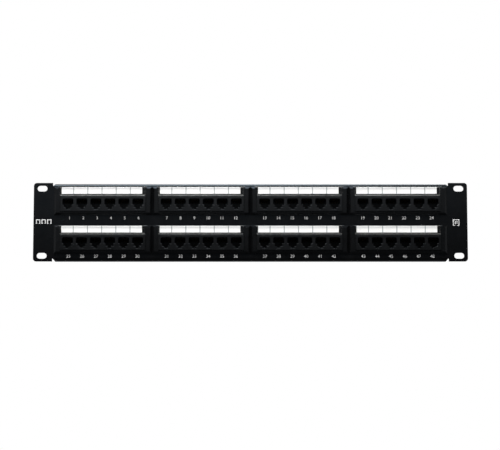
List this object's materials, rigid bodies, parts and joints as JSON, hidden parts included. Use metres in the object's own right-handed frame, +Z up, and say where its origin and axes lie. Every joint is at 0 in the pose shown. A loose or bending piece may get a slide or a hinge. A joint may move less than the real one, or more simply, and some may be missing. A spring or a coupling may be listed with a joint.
{
  "type": "patch panel",
  "caption": "Flat black rack-mount panel with two rows of modular jack openings, clear-covered label strips and punch-down blocks behind.",
  "frame": {"origin": "middle of the panel's front face, the centre of the four rack slots", "axes": "+X along the panel, to the right seen from the front; +Y from the front to the back; +Z up"},
  "size_m": [0.4826, 0.0355, 0.0882],
  "materials": {
    "panel_steel": "fine black powder coat",
    "frame_plastic": "satin moulded black",
    "jack_plastic": "semi-gloss moulded black",
    "board_laminate": "solder mask",
    "block_plastic": "satin moulded black",
    "label_paper": "plain white card",
    "cover_plastic": "clear polycarbonate"
  },
  "bodies": {
    "panel": {"rack_panel": "panel_steel", "module_frame_1": "frame_plastic", "jack_block_1": "jack_plastic", "circuit_board_1": "board_laminate", "idc_block_upper_1": "block_plastic", "idc_block_lower_1": "block_plastic", "label_card_1": "label_paper", "module_frame_2": "frame_plastic", "jack_block_2": "jack_plastic", "circuit_board_2": "board_laminate", "idc_block_upper_2": "block_plastic", "idc_block_lower_2": "block_plastic", "label_card_2": "label_paper", "module_frame_3": "frame_plastic", "jack_block_3": "jack_plastic", "circuit_board_3": "board_laminate", "idc_block_upper_3": "block_plastic", "idc_block_lower_3": "block_plastic", "label_card_3": "label_paper", "module_frame_4": "frame_plastic", "jack_block_4": "jack_plastic", "circuit_board_4": "board_laminate", "idc_block_upper_4": "block_plastic", "idc_block_lower_4": "block_plastic", "label_card_4": "label_paper", "module_frame_5": "frame_plastic", "jack_block_5": "jack_plastic", "circuit_board_5": "board_laminate", "idc_block_upper_5": "block_plastic", "idc_block_lower_5": "block_plastic", "label_card_5": "label_paper", "module_frame_6": "frame_plastic", "jack_block_6": "jack_plastic", "circuit_board_6": "board_laminate", "idc_block_upper_6": "block_plastic", "idc_block_lower_6": "block_plastic", "label_card_6": "label_paper", "module_frame_7": "frame_plastic", "jack_block_7": "jack_plastic", "circuit_board_7": "board_laminate", "idc_block_upper_7": "block_plastic", "idc_block_lower_7": "block_plastic", "label_card_7": "label_paper", "module_frame_8": "frame_plastic", "jack_block_8": "jack_plastic", "circuit_board_8": "board_laminate", "idc_block_upper_8": "block_plastic", "idc_block_lower_8": "block_plastic", "label_card_8": "label_paper"},
    "cover_1": {"label_cover_1": "cover_plastic"},
    "cover_2": {"label_cover_2": "cover_plastic"},
    "cover_3": {"label_cover_3": "cover_plastic"},
    "cover_4": {"label_cover_4": "cover_plastic"},
    "cover_5": {"label_cover_5": "cover_plastic"},
    "cover_6": {"label_cover_6": "cover_plastic"},
    "cover_7": {"label_cover_7": "cover_plastic"},
    "cover_8": {"label_cover_8": "cover_plastic"}
  },
  "joints": [
    {"name": "cover_hinge_1", "type": "hinge", "parent": "panel", "child": "cover_1", "pos_m": [-0.16445, -0.0024, 0.03855], "axis": [-1, 0, 0], "range_deg": [0, 100]},
    {"name": "cover_hinge_2", "type": "hinge", "parent": "panel", "child": "cover_2", "pos_m": [-0.05515, -0.0024, 0.03855], "axis": [-1, 0, 0], "range_deg": [0, 100]},
    {"name": "cover_hinge_3", "type": "hinge", "parent": "panel", "child": "cover_3", "pos_m": [0.05415, -0.0024, 0.03855], "axis": [-1, 0, 0], "range_deg": [0, 100]},
    {"name": "cover_hinge_4", "type": "hinge", "parent": "panel", "child": "cover_4", "pos_m": [0.16345, -0.0024, 0.03855], "axis": [-1, 0, 0], "range_deg": [0, 100]},
    {"name": "cover_hinge_5", "type": "hinge", "parent": "panel", "child": "cover_5", "pos_m": [-0.16445, -0.0024, -0.00495], "axis": [-1, 0, 0], "range_deg": [0, 100]},
    {"name": "cover_hinge_6", "type": "hinge", "parent": "panel", "child": "cover_6", "pos_m": [-0.05515, -0.0024, -0.00495], "axis": [-1, 0, 0], "range_deg": [0, 100]},
    {"name": "cover_hinge_7", "type": "hinge", "parent": "panel", "child": "cover_7", "pos_m": [0.05415, -0.0024, -0.00495], "axis": [-1, 0, 0], "range_deg": [0, 100]},
    {"name": "cover_hinge_8", "type": "hinge", "parent": "panel", "child": "cover_8", "pos_m": [0.16345, -0.0024, -0.00495], "axis": [-1, 0, 0], "range_deg": [0, 100]}
  ]
}
